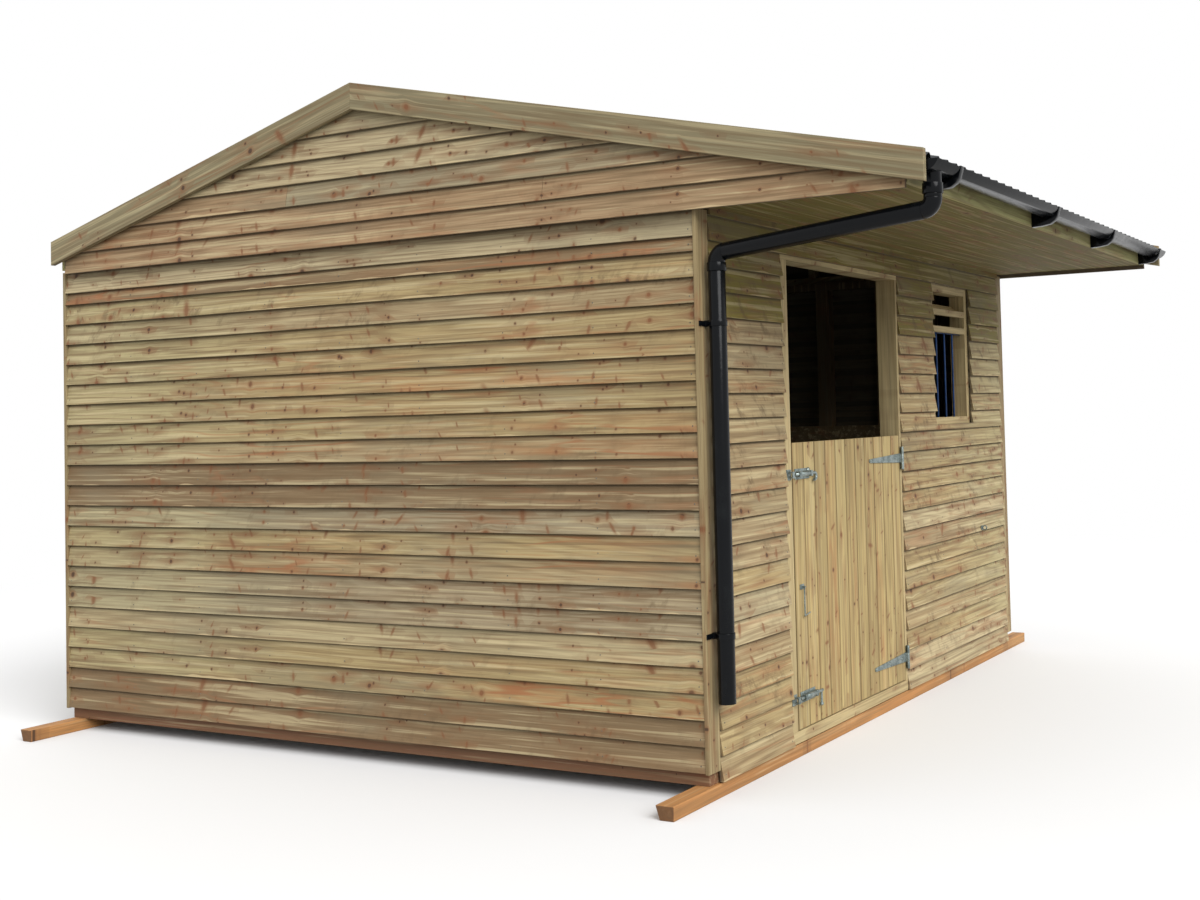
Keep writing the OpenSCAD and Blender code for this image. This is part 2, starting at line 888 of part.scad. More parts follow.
module bolt_keeps() {
    color("silver") placed() {
        keep(upper_bolt);
        keep(lower_bolt);
    }
}

hook_x = slab_left + 60;
hook_height = door_top / 2 - 7;
eye_height = hook_height + 58;
module cabin_hook() {
    wire = 6;
    drop = 125;
    color("silver") placed() translate([hook_x, 0, hook_height]) {
        box(-20, 20, -3, 0, -11, 11);
        translate([0, -1, 0]) rotate([90, 0, 0]) cylinder(d = wire + 2, h = 17, $fn = 24);
        translate([0, -13, -drop]) cylinder(d = wire, h = drop, $fn = 24);
        translate([-2.5, -13, -drop]) rotate([0, 80, 0]) cylinder(d = wire, h = 55, $fn = 24);
    }
}

module hook_eye() {
    away = 1;
    eye_x = 2 * hinge_axis_x - hook_x + 30;
    color("silver") placed() translate([eye_x, stud_face - board_butt, eye_height]) {
        box(-16, 16, -3, away, -12, 12);
        translate([0, -16, 0]) rotate([0, 90, 0]) translate([0, 0, -3]) difference() {
            cylinder(r = 15, h = 6, $fn = 32);
            translate([0, 0, -1]) cylinder(r = 9, h = 8, $fn = 32);
        }
    }
}

// ---------- window ----------

module window_frame() {
    x0 = window_start;
    x1 = window_end;
    y0 = window_recess;
    color("wheat") placed() {
        box(x0, x0 + window_member, y0, lining_depth, window_base, window_top);
        box(x1 - window_member, x1, y0, lining_depth, window_base, window_top);
        box(x0, x1, y0, lining_depth, window_base, window_base + window_member);
        box(x0, x1, y0, lining_depth, window_top - window_member, window_top);
        for (z = [first_bar, second_bar])
            box(x0, x1, y0, y0 + bar_thickness, z, z + window_bar);
    }
}

// One slat that rises behind the first bar
module window_louvres() {
    outer = window_recess + bar_thickness;
    inner = lining_depth - 8;
    slope = 24;
    low = first_bar + 4;
    high = first_bar + window_bar + slope;
    color("wheat") placed()
        along_x(window_start + window_member, window_end - window_member)
            polygon([[outer, low], [outer, low + slat_thickness],
                     [inner, high + slat_thickness], [inner, high]]);
}

module window_grille() {
    clear = window_width - 2 * window_member;
    gap = clear / (grille_bars + 1);
    low = window_base + window_member;
    high = second_bar;
    rail = 8;
    behind = window_recess + bar_thickness + grille_diameter / 2 + 5;
    color("silver") placed() {
        for (i = [1 : grille_bars])
            translate([window_start + window_member + i * gap, behind, low])
                cylinder(d = grille_diameter, h = high - low, $fn = 24);
        box(window_start + window_member, window_end - window_member,
            behind - rail / 2, behind + rail / 2, high - 4, high + 16);
    }
}

// ---------- lining ----------

module side_kickboards() {
    color("peru") placed() both_ends()
        box(side_in, side_in + kick_thickness, front_in, rear_in, kick_base, kick_top);
}

module rear_kickboard() {
    x0 = side_in + kick_thickness;
    color("peru") placed()
        box(x0, width - x0, rear_in - kick_thickness, rear_in, kick_base, kick_top);
}

module front_kickboards() {
    x0 = side_in + kick_thickness;
    color("peru") placed() {
        box(x0, door_frame_start, front_in, front_in + kick_thickness, kick_base, kick_top);
        box(hinge_cover, width - x0, front_in, front_in + kick_thickness,
            kick_base, kick_top);
    }
}

// ---------- drawing ----------

skids();
side_base_beams();
end_base_beams();
left_wall_frame();
right_wall_frame();
rear_wall_frame();
front_frame_left();
front_frame_right();
front_header();
gable_frames();
purlins();
left_cladding();
right_cladding();
rear_cladding();
front_cladding_left();
front_cladding_middle();
front_cladding_under_window();
front_cladding_right();
front_cladding_top();
gable_panels();
corner_trims();
front_barge_boards();
rear_barge_boards();
fascia_boards();
canopy_soffit();
front_roof_sheet();
rear_roof_sheet();
ridge_cap();
gutter();
gutter_brackets();
pipe_elbows();
offset_pipe();
downpipe();
pipe_clips();
door_jambs();
door_rails();
stable_door();
hinge_straps();
hinge_leaves();
bolt_plates();
upper_bolt_rod();
lower_bolt_rod();
bolt_keeps();
cabin_hook();
hook_eye();
window_frame();
window_louvres();
window_grille();
side_kickboards();
rear_kickboard();
front_kickboards();
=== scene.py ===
"""Looks of a timber field shelter: featheredge boards, a corrugated roof, a planed door
and galvanised fittings."""

import math
import random

import bmesh
import bpy
from mathutils import Euler, Matrix, Vector, noise


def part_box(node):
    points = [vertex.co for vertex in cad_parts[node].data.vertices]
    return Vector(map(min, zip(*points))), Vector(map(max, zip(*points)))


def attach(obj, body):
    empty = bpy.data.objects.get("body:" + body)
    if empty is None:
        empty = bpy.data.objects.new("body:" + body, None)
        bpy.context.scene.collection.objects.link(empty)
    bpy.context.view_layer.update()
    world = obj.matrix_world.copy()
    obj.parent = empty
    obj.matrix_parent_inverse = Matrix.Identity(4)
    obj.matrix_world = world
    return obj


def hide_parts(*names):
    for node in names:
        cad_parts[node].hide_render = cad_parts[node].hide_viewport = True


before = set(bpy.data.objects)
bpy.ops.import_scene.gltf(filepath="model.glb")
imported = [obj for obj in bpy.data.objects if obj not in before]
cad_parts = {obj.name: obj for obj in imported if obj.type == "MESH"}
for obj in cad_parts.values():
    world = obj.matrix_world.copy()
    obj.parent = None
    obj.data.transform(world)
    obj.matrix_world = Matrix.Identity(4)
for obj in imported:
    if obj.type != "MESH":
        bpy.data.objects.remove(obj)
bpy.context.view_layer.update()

EXPOSURE = 0.100        # height of each cladding board that shows
BOARD_HEIGHT = 0.125    # whole height of a featheredge board
BUTT = 0.0178           # thickness of its lower edge
FEATHER = 0.0075        # thickness of its upper edge
SKIN = 0.030            # how far the lower edges stand off the studs
NARROW_ROW = 0.059      # the one row of the side walls that shows less


# ---------- shader expressions ----------

class Socket:
    """A node's output that arithmetic works on."""

    def __init__(self, nodes, link):
        self.nodes, self.link = nodes, link

    def _math(self, operation, *values):
        return self.nodes.node("ShaderNodeMath", {"operation": operation}, *values)

    def __add__(self, other):
        return self._math("ADD", self, other)

    __radd__ = __add__

    def __sub__(self, other):
        return self._math("SUBTRACT", self, other)

    def __rsub__(self, other):
        return self._math("SUBTRACT", other, self)

    def __mul__(self, other):
        return self._math("MULTIPLY", self, other)

    __rmul__ = __mul__

    def __truediv__(self, other):
        return self._math("DIVIDE", self, other)

    def __pow__(self, other):
        return self._math("POWER", self, other)

    def call(self, operation, *others):
        return self._math(operation, self, *others)

    def between(self, low, high):
        """0 at low, 1 at high and smooth in between; low may be the larger."""
        t = self._math("MULTIPLY_ADD", self, 1 / (high - low), -low / (high - low))
        t.link.node.use_clamp = True
        return t * t * (3 - 2 * t)


class Nodes:
    """A node tree, built from expressions."""

    def __init__(self, tree):
        self.tree = tree
        tree.nodes.clear()

    def node(self, kind, settings=None, *values, out=0, **named):
        """Adds a node. values feed its inputs in turn, and named ones feed an input by its
        name, or by its number after an underscore. out picks the output that it gives."""
        made = self.tree.nodes.new(kind)
        for key, value in (settings or {}).items():
            if key == "stops":
                ramp = made.color_ramp
                while len(ramp.elements) < len(value):
                    ramp.elements.new(0.5)
                for element, (place, colour) in zip(ramp.elements, value):
                    element.position, element.color = place, (*colour, 1)
            else:
                setattr(made, key, value)
        for key, value in [*enumerate(values), *named.items()]:
            target = made.inputs[int(key[1:]) if str(key).startswith("_") else key]
            if isinstance(value, Socket):
                self.tree.links.new(value.link, target)
            elif isinstance(value, tuple) and target.type == "RGBA":
                target.default_value = (*value[:3], 1)
            elif value is not None:
                target.default_value = value
        return Socket(self, made.outputs[out]) if made.outputs else None

    def split(self, vector, order="XYZ"):
        parts = self.node("ShaderNodeSeparateXYZ", None, vector).link.node
        return [Socket(self, parts.outputs[axis]) for axis in order]

    def place(self, order="XYZ"):
        """Object coordinates with their axes in the given order, as three sockets."""
        return self.split(self.node("ShaderNodeTexCoord", out="Object"), order)

    def facing(self, order):
        """How far the surface faces along each axis, in the given order, as three sockets."""
        return self.split(self.node("ShaderNodeTexCoord", out="Normal"), order)

    def attribute(self, name):
        """The three values that each point of a mesh has under this name."""
        return self.split(self.node("ShaderNodeAttribute", {"attribute_name": name},
                                    out="Vector"))

    def vector(self, x, y, z):
        return self.node("ShaderNodeCombineXYZ", None, x, y, z)

    def noise(self, vector, scale, detail=4.0, roughness=0.55):
        return self.node("ShaderNodeTexNoise", None, vector, Scale=scale, Detail=detail,
                         Roughness=roughness)

    def mix(self, factor, a, b):
        """Colour a where factor is 0 and colour b where it is 1."""
        return self.node("ShaderNodeMix", {"data_type": "RGBA"}, out=2, _0=factor, _6=a, _7=b)

    def shows_surroundings(self):
        """1 for rays that show the studio, seen straight, mirrored or through something
        clear, and 0 for those that only carry its light."""
        path = self.node("ShaderNodeLightPath", out="Is Camera Ray")
        glossy, through = (Socket(self, path.link.node.outputs[kind])
                           for kind in ("Is Glossy Ray", "Is Transmission Ray"))
        return (path + glossy + through).call("MINIMUM", 1.0)


class Finish(Nodes):
    """One material and its shader."""

    def __init__(self, name, **constants):
        self.material = bpy.data.materials.new(name)
        self.material.use_nodes = True
        super().__init__(self.material.node_tree)
        self.shader = self.tree.nodes.new("ShaderNodeBsdfPrincipled")
        self.output = self.tree.nodes.new("ShaderNodeOutputMaterial")
        self.tree.links.new(self.shader.outputs[0], self.output.inputs["Surface"])
        for key, value in constants.items():
            self.shader.inputs[key.replace("_", " ")].default_value = value

    def feed(self, key, socket):
        self.tree.links.new(socket.link, self.shader.inputs[key])

    def bump(self, height, distance):
        """Raises the surface by distance, in metres, where height is 1."""
        self.feed("Normal", self.node("ShaderNodeBump", None, Height=height,
                                      Distance=distance))


def linear(red, green, blue):
    """A colour as it looks on a screen, from 0 to 255, in the renderer's terms."""
    return tuple(((c / 255 + 0.055) / 1.055) ** 2.4 if c > 10 else c / 3300
                 for c in (red, green, blue))


# ---------- timber ----------

# Board stock by name: its place on the tone ramp, and its colour
STOCK = {
    "brown": (0.00, linear(126, 105, 75)),
    "pink": (0.15, linear(164, 135, 100)),
    "grey": (0.29, linear(156, 143, 114)),
    "tan": (0.43, linear(163, 142, 104)),
    "straw": (0.57, linear(170, 149, 104)),
    "green": (0.71, linear(160, 148, 106)),
    "pale": (0.85, linear(191, 174, 137)),
    # olive is darker and greener than the wood: partly its treatment, partly painted shade and
    # painted green bounce light for the rows under the canopy
    "olive": (1.00, linear(119, 108, 36)),
}


# What is mixed over a board's own colour; lap's shade and unlit side are painted shade, and joint
# is dirt and painted shade in the door's grooves
MARK = {
    "bleached": linear(178, 170, 128), "late wood": linear(108, 82, 50),
    "dark streak": linear(108, 84, 54), "pale streak": linear(206, 190, 148),
    "dark fibre": linear(98, 80, 52), "pale fibre": linear(214, 198, 158),
    "silver": linear(128, 120, 96), "amber": linear(172, 114, 68),
    "heartwood": linear(156, 94, 54), "stain": linear(116, 82, 52),
    "grime": linear(88, 68, 42), "knot's rim": linear(126, 84, 50),
    "black knot": linear(62, 41, 26), "red knot": linear(120, 76, 44),
    "sawn end": linear(82, 54, 32), "joint": linear(92, 74, 38),
    "waney edge": linear(214, 192, 148), "lap's shade": linear(58, 46, 26),
    "unlit side": linear(66, 62, 54), "dull board": linear(158, 134, 84),
}


def knots_in(f, u, v, long_cells, cross_cells, chance, least, most, spikes):
    """Scattered knots, one at most to a cell. Gives their core, rim and stain along the
    grain, how far each pulls the grain aside, and which lie as spikes across a board."""
    cell = f.node("ShaderNodeTexVoronoi", {"voronoi_dimensions": "2D"},
                  Vector=f.vector(u * long_cells, v * cross_cells, 0.0), Scale=1.0,
                  out="Position")
    centre_u, centre_v, _ = f.split(cell)
    pick = f.split(Socket(f, cell.link.node.outputs["Color"]))
    du = u - centre_u / long_cells
    dv = v - centre_v / cross_cells
    wobble = f.noise(f.vector(u, v, 0.0), 90.0, 2.0) - 0.5
    spike = pick[2].between(1.0 - spikes, 1.03 - spikes)
    leaning = du - dv * spike * (0.75 - pick[0] * 2.4)
    reach = (leaning * leaning + dv * dv * (1 - 0.87 * spike)).call("SQRT") + wobble * 0.006
    found = (chance - pick[0]).between(-0.01, 0.01)
    r = reach / (pick[1] ** 2.0 * (most - least) + least)
    stain = (du * du * -130.0 - dv * dv * 5600.0).call("EXPONENT") * found
    return ((1 - r.between(0.55, 1.10)) * found, (1 - r.between(0.8, 2.1)) * found, stain,
            dv * (r * r * -0.14).call("EXPONENT") * found * (0.55 - 0.45 * spike), spike)


def grain_turned(across, deep, rails, ledges):
    """1 where the grain runs across a piece: on its rails, or behind its boards."""
    if ledges:
        return deep.call("GREATER_THAN", ledges)
    middle = (rails[0] + rails[1]) / 2
    return (across - middle).call("ABSOLUTE").call("LESS_THAN", rails[1] - middle)


def lap_marks(f, base, u, shift, across, show, inner):
    """A pale, waney lower edge, painted shade just under the lap above, and painted shade on
    the side that faces the room."""
    edge = f.noise(f.vector(u * 1.6, shift * 9.0, 0.0), 1.0, 3.0, 0.7) * 0.090 - 0.051
    wane = (1 - (across - edge).between(-0.0015, 0.0015)) * across.between(0.0004, 0.0012)
    base = f.mix(wane * 0.50, base, MARK["waney edge"])
    # painted shade: a band just under the lap of the board above, and the whole side that faces
    # the room
    base = f.mix((across - show).between(-0.013, -0.001) * 0.72, base, MARK["lap's shade"])
    return f.mix(inner * 0.80, base, MARK["unlit side"])


ROUGH_TIMBER = 0.74     # how matt the timber is


def timber(name, order, plain=None, knots=1.0, knot_size=1.0, figure=1.0, warmth=1.0,
           weather=1.0, boards=None, lapped=False, smudges=0.0, streaks=1.0,
           sawn_end=0.0, slant=0.0, rails=None, ledges=None):
    """Softwood whose grain runs along the first axis of order and lies across the second.

    plain is one colour for the piece; without it each board's own tone picks its stock.
    sawn_end says how much darker the end grain is, and slant how steeply a board falls.
    rails, two places across the piece, turns the grain between them to run across, and
    ledges, a depth, turns it behind the boards.
    boards, an edge and a width, gives a piece in one solid the look of separate boards.
    lapped boards have painted shade under the lap above and on the side that faces the room,
    are pale along a waney lower edge, and have smudges, as dark as that says. Boards cut from
    one log share their knots."""
    f = Finish(name, Roughness=ROUGH_TIMBER)
    along, across, deep = f.place(order)
    if slant:
        across = across - along * slant
    if boards:
        place = (across - boards[0]) / boards[1]
        row = place.call("FLOOR")
    turned = 0.0
    if rails or ledges:
        turned = grain_turned(across, deep, rails, ledges)
        along, across = along + (across - along) * turned, across + (along - across) * turned
    tone, shift, warm = f.attribute("board")
    if boards:
        own = f.node("ShaderNodeTexWhiteNoise", {"noise_dimensions": "1D"},
                     W=row * (1 - turned), out="Color")
        tone, shift, warm = f.split(own)
        warm = warm * warm * 0.7
    if lapped:
        across, show, _ = f.attribute("lap")
        # inner marks the side that faces the room, for painted shade
        faded, soil, inner = f.attribute("wear")
    u = along + shift * 31.0
    v = across + shift * 7.0

    crowd = f.noise(f.vector(u * 1.1, v * 2.0, 5.0), 1.0, 2.0).between(0.40, 0.60)
    core, rim, stain, pull, spike = knots_in(
        f, u, v, 5.2, 11.0, (crowd * 0.52 + 0.18) * knots, 0.0050 * knot_size,
        0.0150 * knot_size, 0.24)
    pin, pin_rim, pin_stain, _, tick = knots_in(
        f, u + 3.3, v + 1.7, 10.0, 19.0, (crowd * 0.46 + 0.12) * knots, 0.0036, 0.0086, 0.42)
    v = v - pull

    # growth rings as contour lines of a stretched noise, then streaks, fibres and blotches
    swell = f.noise(f.vector(u * 0.40, v * 7.0, deep * 7.0), 1.0, 1.0, 0.4)
    ring = (swell * (96.0 * figure)).call("SINE") * 0.5 + 0.5
    streak = f.noise(f.vector(u * 0.9, v * 42.0, deep * 42.0 + 2.0), 1.0, 3.0, 0.6)
    fibre = f.noise(f.vector(u * 2.2, v * 105.0, deep * 105.0), 1.0, 5.0, 0.65)
    fine = f.noise(f.vector(u * 14.0, v * 420.0, deep * 420.0), 1.0, 2.0, 0.6)
    patch = f.noise(f.vector(u * 1.3, v * 9.0, deep * 7.0 + 3.0), 1.0, 3.0, 0.6)
    flame = f.noise(f.vector(u * 1.9, v * 26.0, deep * 7.0 + 6.0), 1.0, 3.0, 0.6)
    silver = f.noise(f.vector(u * 0.8, v * 3.0, deep * 3.0 + 9.0), 1.0, 4.0, 0.6)

    # veins of heartwood: thin lines that wander slowly down the length of a board
    course = f.noise(f.vector(u * 0.7, v * 10.0, deep * 3.0 + 14.0), 1.0, 2.0, 0.5)
    vein = 1 - (course - 0.5).call("ABSOLUTE").between(0.004, 0.026)
    vein = vein * silver.between(0.58, 0.46) * patch.between(0.36, 0.52)

    if plain:
        base = f.mix(patch.between(0.25, 0.75), tuple(c * 0.88 for c in plain),
                     tuple(min(c * 1.10, 1) for c in plain))
        if boards:
            base = f.mix(tone * 0.45, base, MARK["dull board"])
    else:
        base = f.node("ShaderNodeValToRGB", {"stops": sorted(STOCK.values())}, tone)
    if lapped:
        base = f.mix(faded * 0.48, base, MARK["bleached"])
    base = f.mix(ring.between(0.45, 1.0) * (0.30 * figure), base, MARK["late wood"])
    base = f.mix(streak.between(0.52, 0.66) * (0.62 * streaks), base, MARK["dark streak"])
    base = f.mix(streak.between(0.48, 0.36) * (0.50 * streaks), base, MARK["pale streak"])
    base = f.mix((1 - fibre.between(0.30, 0.60)) * 0.44, base, MARK["dark fibre"])
    base = f.mix(fibre.between(0.58, 0.78) * 0.40, base, MARK["pale fibre"])
    base = f.mix(silver.between(0.50, 0.70) * (0.40 * weather), base, MARK["silver"])
    amber = patch.between(0.46, 0.68) * 0.40 + flame.between(0.50, 0.66) * 0.50
    amber = amber * warm + stain * (warm * 0.45 + 0.16)
    base = f.mix(amber * (warmth * 0.72), base, MARK["amber"])
    base = f.mix(vein * (warm * 0.55 + 0.22) * warmth, base, MARK["heartwood"])
    base = f.mix((stain * 0.50 + pin_stain * 0.34) * (1 - warm * 0.7), base, MARK["stain"])
    if lapped:
        smear = f.noise(f.vector(u * 15.0 + v * 5.0, v * 10.0, deep), 1.0, 4.0, 0.68)
        soiled = f.noise(f.vector(u * 2.6, v * 6.0, 2.0), 1.0, 2.0)
        grime = smear.between(0.50, 0.70) * soiled.between(0.40, 0.62) * smudges
        base = f.mix(grime * (soil * 0.85 + 0.15), base, MARK["grime"])
    base = f.mix(rim * 0.54 + pin_rim * 0.38, base, MARK["knot's rim"])
    red = (spike + tick + warm * 0.8).call("MINIMUM", 1.0)
    heart = f.mix(red, MARK["black knot"], MARK["red knot"])
    base = f.mix(core * (0.86 - 0.18 * spike) + pin * (0.80 - 0.16 * tick), base, heart)
    if sawn_end:
        end = f.facing(order)[0].call("ABSOLUTE").between(0.80, 0.95) * sawn_end
        base = f.mix(end, base, MARK["sawn end"])
    height = fibre * 0.6 + fine * 0.35 + ring * 0.25 - core * 0.6
    if boards:
        # dark lines along the door's V-grooves: partly dirt, partly painted shade in the grooves
        joint = 1 - ((place - row - 0.5).call("ABSOLUTE") - 0.5).call("ABSOLUTE") * boards[1]
        joint = joint.between(0.9910, 0.9980) * (1 - turned) * 0.66
        base = f.mix(joint, base, MARK["joint"])
    if lapped:
        base = lap_marks(f, base, u, shift, across, show, inner)
    f.feed("Base Color", base)
    f.feed("Roughness", fine * 0.16 + (ROUGH_TIMBER - 0.08))
    f.bump(height, 0.0008)
    return f


BARGE = 0.118           # height of the barge boards, measured plumb

front_low, front_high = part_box("front_barge_boards")
rear_low, rear_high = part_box("rear_barge_boards")
ridge_y, ridge_z = front_high.y, front_high.z
front_fall = (ridge_z - front_low.z - BARGE) / (ridge_y - front_low.y)
rear_fall = (ridge_z - rear_low.z - BARGE) / (rear_high.y - ridge_y)

WINDOW_POST = 0.041     # a little over the width of each post of the window's frame
window_low, window_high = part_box("window_frame")
between_posts = (window_low.x + WINDOW_POST, window_high.x - WINDOW_POST)

LEDGE = 0.022           # thickness of the ledges and brace behind the door's boards
door_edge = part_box("stable_door")
DOOR_BOARDS = 11
slab_boards = (door_edge[0].x, (door_edge[1].x - door_edge[0].x) / DOOR_BOARDS)

cladding_along_y = timber("featheredge_side", "YZX", lapped=True, smudges=0.60,
                          sawn_end=0.3)
cladding_along_x = timber("featheredge_front", "XZY", lapped=True, smudges=0.80,
                          sawn_end=0.3)
# the studs are darker than the wood's own colour: painted shade for the room inside
frame_upright = timber("stud_timber", "ZXY", linear(104, 92, 70), weather=0.6)
frame_across = timber("purlin_timber", "XYZ", linear(140, 122, 88), weather=0.6)
trim_upright = timber("corner_trim_timber", "ZXY", linear(150, 132, 94), streaks=0.6)
trim_across = timber("fascia_timber", "XZY", linear(180, 176, 116), knots=0.5)
# the soffit's colour is darker and greener than the wood: partly its green treatment, partly
# painted shade and painted green bounce light under the canopy
soffit_timber = timber("soffit_timber", "XYZ", linear(104, 96, 18), knots=0.6,
                       streaks=0.7, weather=0.2)
front_barge_timber, rear_barge_timber = (
    timber(name, "YZX", linear(134, 124, 94), knots=0.6, weather=0.8, streaks=0.7,
           slant=slant)
    for name, slant in (("front_barge_timber", front_fall), ("rear_barge_timber", -rear_fall)))
PLANED = dict(plain=linear(192, 172, 126), figure=0.6, warmth=0.5, weather=0.2, streaks=0.4)
planed_upright = timber("planed_upright", "ZXY", knots=0.5, knot_size=0.8, **PLANED)
window_timber = timber("window_frame_timber", "ZXY", knots=0.4, knot_size=0.8,
                       rails=between_posts, **PLANED)
planed_across = timber("planed_across", "XZY", knots=0.4, **PLANED)
# the kickboards are darker than the wood's own colour: painted shade for the room inside
kick_timber = timber("kick_panel_timber", "XZY", linear(120, 102, 72), knots=0.5)
skid_timber = timber("skid_timber", "XYZ", linear(182, 128, 74), knots=0.3, warmth=0.4,
                     weather=0.1, figure=0.6, streaks=0.3, sawn_end=0.75)
beam_timber, end_beam_timber = (
    timber(name, order, linear(120, 80, 54), knots=0.4, warmth=0.0, weather=0.3, figure=0.5,
           streaks=0.5)
    for name, order in (("side_beam_timber", "YZX"), ("end_beam_timber", "XZY")))
door_timber = timber("door_timber", "ZXY", linear(192, 170, 116), knots=0.9,
                     knot_size=0.8, figure=0.8, warmth=0.8, weather=0.2, streaks=0.6,
                     boards=slab_boards, ledges=door_edge[1].y - LEDGE + 0.0005)


# ---------- metal, plastic and roofing ----------

def galvanised(name, shade, dark, roughness=0.38):
    f = Finish(name, Metallic=0.80, Roughness=roughness)
    x, y, z = f.place()
    spangle = f.node("ShaderNodeTexVoronoi", None, Vector=f.vector(x, y, z), Scale=210.0,
                     out="Distance")
    dull = f.noise(f.vector(x, y, z), 26.0, 4.0)
    rub = f.noise(f.vector(x, y, z), 140.0, 3.0, 0.7)
    base = f.mix(spangle.between(0.2, 0.8) * 0.5, shade, dark)
    base = f.mix(dull.between(0.42, 0.66) * 0.60, base, dark)
    base = f.mix(rub.between(0.54, 0.72) * 0.50, base, linear(44, 50, 50))
    f.feed("Base Color", base)
    f.feed("Roughness", dull * 0.35 + (roughness - 0.13))
    f.bump(dull + rub * 0.4, 0.0004)
    return f


def black_plastic(name):
    f = Finish(name, Roughness=0.2, Specular_IOR_Level=0.15)
    x, y, z = f.place()
    dust = f.noise(f.vector(x * 2.0, y * 2.0, z), 6.0, 5.0, 0.65)
    f.feed("Base Color", f.mix(dust.between(0.52, 0.80) * 0.30, linear(9, 11, 14),
                               linear(34, 38, 38)))
    f.feed("Roughness", dust * 0.20 + 0.10)
    f.bump(f.noise(f.vector(x, y, z), 30.0, 2.0), 0.0005)
    return f


def roofing(name):
    f = Finish(name, Roughness=0.7)
    x, y, z = f.place()
    grit = f.noise(f.vector(x, y, z), 420.0, 3.0, 0.7)
    wash = f.noise(f.vector(x * 6.0, y * 0.7, z), 1.0, 4.0, 0.6)
    base = f.mix(grit, linear(28, 30, 33), linear(56, 58, 60))
    f.feed("Base Color", f.mix(wash.between(0.45, 0.75) * 0.35, base, linear(84, 85, 82)))
    f.feed("Roughness", grit * 0.25 + 0.55)
    f.bump(grit, 0.0008)
    return f


zinc = galvanised("galvanised_fittings", linear(158, 168, 164), linear(80, 94, 94))
nail_zinc = galvanised("galvanised_nails", linear(120, 118, 108), linear(84, 80, 70), 0.5)
bar_paint = galvanised("blue_grille_bars", linear(36, 66, 112), linear(14, 32, 62), 0.42)
pipe_black = black_plastic("black_rainwater_plastic")
roof_black = roofing("black_roof_sheet")


# ---------- making pieces ----------

def finish_piece(name, bm, finish, body="shelter", stands_for=()):
    """Turns a bmesh into a piece that rides on a body and may stand for CAD nodes."""
    bm.normal_update()
    bmesh.ops.recalc_face_normals(bm, faces=bm.faces)
    mesh = bpy.data.meshes.new(name)
    bm.to_mesh(mesh)
    bm.free()
    piece = bpy.data.objects.new(name, mesh)
    bpy.context.scene.collection.objects.link(piece)
    mesh.materials.append(finish.material)
    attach(piece, body)
    if stands_for:
        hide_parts(*stands_for)


SHARP = math.radians(32)    # edges that turn by more than this are eased and stay crisp


def eased(node, finish, ease, body="shelter", smooth=False):
    """A solid from the frame with its sharp edges taken off, and round faces made smooth."""
    bm = bmesh.new()
    bm.from_mesh(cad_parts[node].data)
    bmesh.ops.remove_doubles(bm, verts=bm.verts, dist=0.00002)
    bmesh.ops.dissolve_limit(bm, angle_limit=math.radians(0.6), verts=bm.verts, edges=bm.edges)
    sharp = [e for e in bm.edges
             if len(e.link_faces) == 2 and e.calc_face_angle(0.0) > SHARP]
    bmesh.ops.bevel(bm, geom=sharp, offset=ease, affect="EDGES", segments=2, profile=0.5,
                    material=-1, clamp_overlap=True)
    if smooth:
        for face in bm.faces:
            face.smooth = True
        for e in bm.edges:
            e.smooth = len(e.link_faces) == 2 and e.calc_face_angle(0.0) < SHARP
    finish_piece(node + "_eased", bm, finish, body, [node])


# Each solid that keeps its shape: its finish, and how much its edges are eased in metres
EASED_TIMBER = {
    "skids": (skid_timber, 0.003), "side_base_beams": (beam_timber, 0.002),
    "end_base_beams": (end_beam_timber, 0.002), "corner_trims": (trim_upright, 0.0015),
    "fascia_boards": (trim_across, 0.0015), "door_jambs": (planed_upright, 0.0015),
    "door_rails": (planed_across, 0.0015), "window_frame": (window_timber, 0.0015),
    "window_louvres": (planed_across, 0.0015),
    "front_barge_boards": (front_barge_timber, 0.002),
    "rear_barge_boards": (rear_barge_timber, 0.002), "purlins": (frame_across, 0.002),
    "side_kickboards": (kick_timber, 0.001), "rear_kickboard": (kick_timber, 0.001),
    "front_kickboards": (kick_timber, 0.001),
}
for node, (finish, ease) in EASED_TIMBER.items():
    eased(node, finish, ease)
for node in ("gutter", "gutter_brackets", "pipe_elbows", "offset_pipe", "downpipe",
             "pipe_clips"):
    eased(node, pipe_black, 0.0008, smooth=True)
for node, body in (("hinge_straps", "lower_door"), ("hinge_leaves", "shelter"),
                   ("bolt_plates", "lower_door"),
                   ("lower_bolt_rod", "lower_bolt"), ("bolt_keeps", "shelter"),
                   ("cabin_hook", "lower_door"), ("hook_eye", "shelter")):
    eased(node, zinc, 0.0009, body, smooth=True)
eased("window_grille", bar_paint, 0.001, smooth=True)
eased("stable_door", door_timber, 0.0008, "lower_door")

# solids that are used as they are, with only their material changed
for finish, names in {
        frame_upright: "left_wall_frame right_wall_frame rear_wall_frame front_frame_left "
                       "front_frame_right",
        frame_across: "front_header", rear_barge_timber: "gable_frames",
        roof_black: "ridge_cap"}.items():
    for node in names.split():
        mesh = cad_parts[node].data
        mesh.materials.clear()
        mesh.materials.append(finish.material)


# ---------- featheredge boards ----------

BOARD_CUTS = 20         # along each board, so that it can bow and its edge wander


def new_boards():
    """An empty mesh whose points have the values that timber reads."""
    bm = bmesh.new()
    for name in ("board", "lap", "wear"):
        bm.verts.layers.float_vector.new(name)
    return bm


